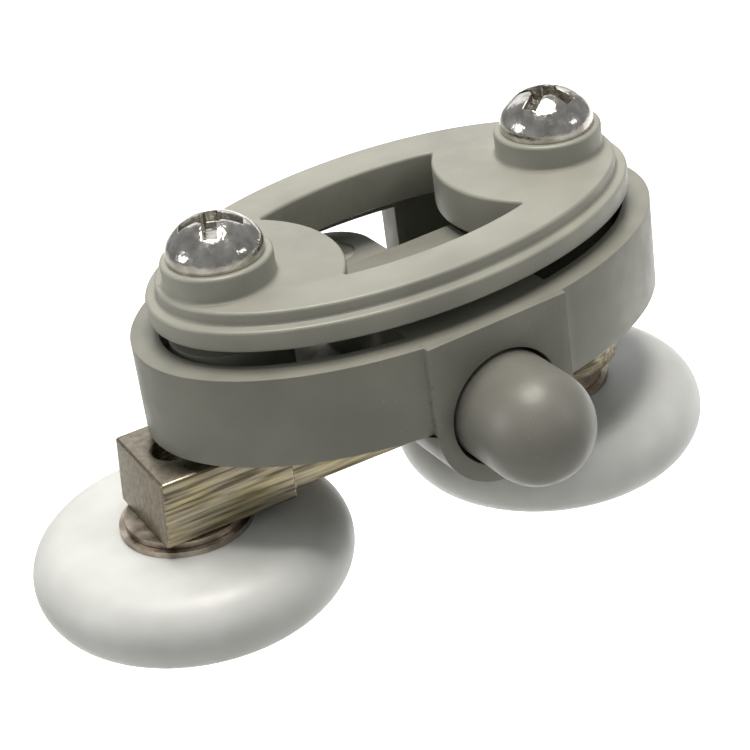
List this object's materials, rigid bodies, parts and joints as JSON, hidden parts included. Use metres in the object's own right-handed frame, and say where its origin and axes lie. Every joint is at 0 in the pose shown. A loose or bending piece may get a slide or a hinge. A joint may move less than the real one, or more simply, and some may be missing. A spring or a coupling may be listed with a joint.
{
  "type": "sliding door roller",
  "caption": "Glass shower door roller: an oval clamp plate over a casing with a push button, on a sprung carriage bar that swivels and carries nylon wheels.",
  "frame": {"origin": "middle of the casing's glass face, halfway between the clamp screws", "axes": "+X along the rail, through both clamp screws; +Z out of the glass face, towards the screw heads; the push button points to -Y"},
  "size_m": [0.0577, 0.0356, 0.0307],
  "materials": {
    "grey_abs": "satin moulded",
    "button_abs": "satin moulded",
    "brass": "turned",
    "screw_steel": "polished",
    "bar_metal": "brushed along its length",
    "collar_metal": "turned, dull nickel",
    "bearing_steel": "ground",
    "spring_steel": "drawn wire",
    "nylon": "smooth, milky",
    "pin_acetal": "smooth"
  },
  "bodies": {
    "casing": {"casing": "grey_abs", "screw_inserts": "brass", "return_spring": "spring_steel"},
    "clamp": {"clamp_plate": "grey_abs"},
    "left_screw": {"clamp_screw_left": "screw_steel"},
    "right_screw": {"clamp_screw_right": "screw_steel"},
    "plunger": {"push_button": "button_abs", "plunger": "grey_abs", "pivot_pin": "pin_acetal", "pivot_clip": "collar_metal"},
    "carriage": {"carriage_bar": "bar_metal", "pivot_washer": "collar_metal", "spacer_left": "collar_metal", "spacer_right": "collar_metal", "axle_bolt_left": "bearing_steel", "axle_bolt_right": "bearing_steel", "bearing_inner_left": "bearing_steel", "bearing_inner_right": "bearing_steel"},
    "left_wheel": {"tyre_left": "nylon", "bearing_outer_left": "bearing_steel", "shields_left": "collar_metal", "hub_collar_left": "collar_metal"},
    "right_wheel": {"tyre_right": "nylon", "bearing_outer_right": "bearing_steel", "shields_right": "collar_metal", "hub_collar_right": "collar_metal"},
    "left_balls": {"ball_cage_left": "bearing_steel"},
    "right_balls": {"ball_cage_right": "bearing_steel"}
  },
  "joints": [
    {"name": "left_screw_turn", "type": "hinge", "parent": "clamp", "child": "left_screw", "pos_m": [-0.015, 0, 0.0062], "axis": [0, 0, 1], "range_deg": [0, 2059.1]},
    {"name": "right_screw_turn", "type": "hinge", "parent": "clamp", "child": "right_screw", "pos_m": [0.015, 0, 0.0062], "axis": [0, 0, 1], "range_deg": [0, 2059.1]},
    {"name": "clamp_slide", "type": "slide", "parent": "casing", "child": "clamp", "axis": [0, 0, 1], "range_m": [0, 0.004]},
    {"name": "button_press", "type": "slide", "parent": "casing", "child": "plunger", "axis": [0, 1, 0], "range_m": [0, 0.004], "stiffness_N_per_m": 800, "springref_m": -0.004, "deforming": ["return_spring"]},
    {"name": "carriage_swivel", "type": "hinge", "parent": "plunger", "child": "carriage", "pos_m": [-0.0012, 0.0086, -0.0084], "axis": [0, 0, 1], "range_deg": [-2, 12]},
    {"name": "left_wheel_spin", "type": "hinge", "parent": "carriage", "child": "left_wheel", "pos_m": [-0.02101, 0.00056, -0.01812], "axis": [0, 0, 1], "continuous": true},
    {"name": "left_ball_spin", "type": "hinge", "parent": "carriage", "child": "left_balls", "pos_m": [-0.02101, 0.00056, -0.01812], "axis": [0, 0, 1], "continuous": true},
    {"name": "right_wheel_spin", "type": "hinge", "parent": "carriage", "child": "right_wheel", "pos_m": [0.01153, -0.00137, -0.01812], "axis": [0, 0, 1], "continuous": true},
    {"name": "right_ball_spin", "type": "hinge", "parent": "carriage", "child": "right_balls", "pos_m": [0.01153, -0.00137, -0.01812], "axis": [0, 0, 1], "continuous": true}
  ],
  "couplings": [
    {"joint": "left_screw_turn", "follows": "clamp_slide", "rad_per_m": 8976},
    {"joint": "right_screw_turn", "follows": "clamp_slide", "rad_per_m": 8976},
    {"joint": "left_ball_spin", "follows": "left_wheel_spin", "ratio": 0.6342},
    {"joint": "right_ball_spin", "follows": "right_wheel_spin", "ratio": 0.6342}
  ]
}
